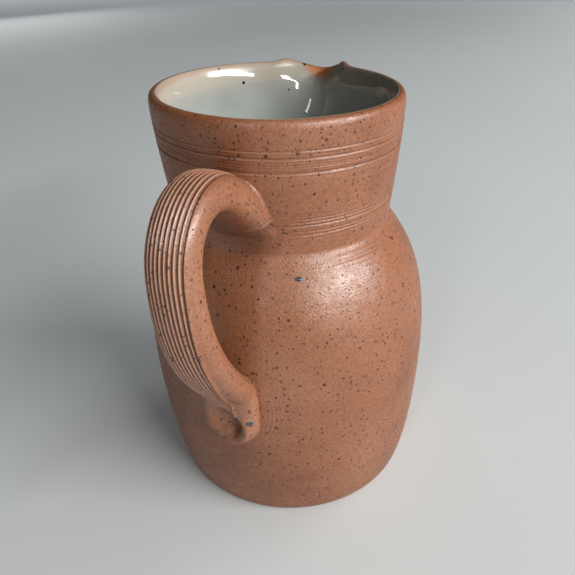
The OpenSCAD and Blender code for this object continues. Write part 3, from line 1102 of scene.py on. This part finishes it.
def glaze_material(groups):
    """Pale grey-green gloss glaze, thin and beige over the rim, darker as painted shade on the inner
    side away from the light, rusty where it breaks.
    """
    paint, tree, shader = new_material("celadon_glaze", 0.07)
    place = tree.nodes.new("ShaderNodeTexCoord").outputs["Object"]
    parts = node(tree, "ShaderNodeSeparateXYZ", {0: place})
    wobble = noise(tree, place, 95.0, 2.5)
    cloud = noise(tree, place, 28.0, 3.0)
    colour = mix(tree, fade(tree, cloud, 0.35, 0.65), *CELADON)
    height = calc(tree, "MULTIPLY_ADD", wobble, 0.0035,
                  calc(tree, "SUBTRACT", parts.outputs["Z"], 0.0018))
    # Painted shade: the glaze is darkened on the inner wall that faces away from the window light.
    shade_side = vector(tree, "DOT_PRODUCT", place, (0.36, -0.93, 0.0))
    painted_shade = fade(tree, shade_side, -0.022, 0.042, 0.0, 0.80)
    thin = fade(tree, height, 0.1850, 0.1975)
    colour = mix(tree, thin, colour, THIN_GLAZE)
    colour = mix(tree, painted_shade, colour, PAINTED_SHADE_GLAZE)
    forward = calc(tree, "ADD", parts.outputs["X"], times(tree, wobble, 0.003))
    spout = fade(tree, forward, 0.0580, 0.0645)
    bare = fade(tree, height, 0.1976, 0.2000)
    rust = calc(tree, "MAXIMUM", spout, times(tree, bare, 0.35))
    colour = mix(tree, rust, colour, RUST)
    specks = use(tree, groups["iron"], Vector=place, Cells_per_Metre=132.0, Spot_Size=0.135,
                 Share=0.95, Edge=0.02)
    freckle = use(tree, groups["iron"], Vector=place, Cells_per_Metre=700.0, Spot_Size=0.22,
                  Share=0.5)
    freckles = times(tree, freckle.outputs["Mask"], times(tree, thin, 0.5))
    colour = mix(tree, freckles, colour, FRECKLE)
    colour = mix(tree, specks.outputs["Mask"], colour, SPECK)
    tree.links.new(colour, shader.inputs["Base Color"])
    tree.links.new(fade(tree, height, 0.1955, 0.2000, 0.07, 0.34), shader.inputs["Roughness"])
    ripple = noise(tree, place, 60.0, 1.0)
    raised(tree, shader, ripple, 0.0006, 0.5)
    return paint


def melted_material(name, roughness, specular, metallic, lumps, relief, dark, light):
    """Iron that melted out of the clay and froze again: clouded between two colours."""
    paint, tree, shader = new_material(name, roughness, specular)
    shader.inputs["Metallic"].default_value = metallic
    place = tree.nodes.new("ShaderNodeTexCoord").outputs["Object"]
    cloud = noise(tree, place, lumps, 2.0)
    tint = mix(tree, fade(tree, cloud, 0.4, 0.6), dark, light)
    tree.links.new(tint, shader.inputs["Base Color"])
    raised(tree, shader, cloud, relief)
    return paint


# ---------------------------------------------------------------- putting it together

set_camera()
set_lights()
lay_floor()

effects = {"iron": iron_group(), "skin": skin_group(), "flame": flame_group(),
           "finger": finger_group()}
body_clay = clay_material("salt_fired_stoneware", effects, STONEWARE,
                          {"Peel": 0.7, "Rings": 0.5, "Pits": 0.6}, 0.37, extra=body_extra,
                          fingers=0.24)
strap_clay = clay_material("combed_stoneware", effects, STRAP_CLAY,
                           {"Peel": 0.65, "Rings": 0.0, "Pits": 0.6}, 0.36, extra=comb_extra)
slip_clay = clay_material("smoothed_slip", effects, SLIP,
                          {"Peel": 0.6, "Rings": 0.15, "Pits": 0.4}, 0.42)

wheel = wheel_tree()
body = make_body(wheel, body_clay)
coat = make_glaze(wheel, glaze_material(effects))
handle = make_handle(strap_clay)
upper_slip = make_fillet("upper_slip_fillet", handle, slip_clay, (143.0, 182.0), (-26.0, 26.0),
                         root_slip)
lower_slip = make_fillet("lower_slip_fillet", handle, slip_clay, (49.0, 106.0), (-19.0, 19.0),
                         tail_slip)

store(body.data, "iron", iron_share(points_of(body.data)))
store(handle.data, "iron", np.ones(len(handle.data.vertices)))
dark_iron = melted_material("melted_iron", 0.46, 0.35, 0.0, 700.0, 0.0001, *BROWN_GLASS)
strewing = strewing_tree()
body_iron = strew_iron("iron_spots_on_body", body, strewing, dark_iron, 8500.0, 0.16, 0.52, 4)
strap_iron = strew_iron("iron_spots_on_strap", handle, strewing, dark_iron, 5200.0, 0.15, 0.45, 9)
metal = melted_material("iron_bead", 0.3, 0.5, 0.6, 1500.0, 0.0002, *BLUE_METAL)
belly_splash = metal_spot("iron_splash_on_belly", body, (-52.0, -24.9, 136.0), 3.3, 2.0, metal)
tail_splash = metal_spot("iron_splash_on_tail", handle, (-81.0, -12.6, 75.5), 3.4, 2.4, metal)

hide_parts("body")
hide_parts("inner_glaze")
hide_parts("handle")
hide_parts("upper_slip_joint")
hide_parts("lower_slip_joint")
for piece, slot in ((body, "bare_stoneware"), (coat, "celadon_glaze"),
                    (handle, "combed_stoneware"), (upper_slip, "clay_slip"),
                    (lower_slip, "clay_slip"), (body_iron, "bare_stoneware"),
                    (strap_iron, "combed_stoneware"), (belly_splash, "bare_stoneware"),
                    (tail_splash, "combed_stoneware")):
    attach(piece, "root")
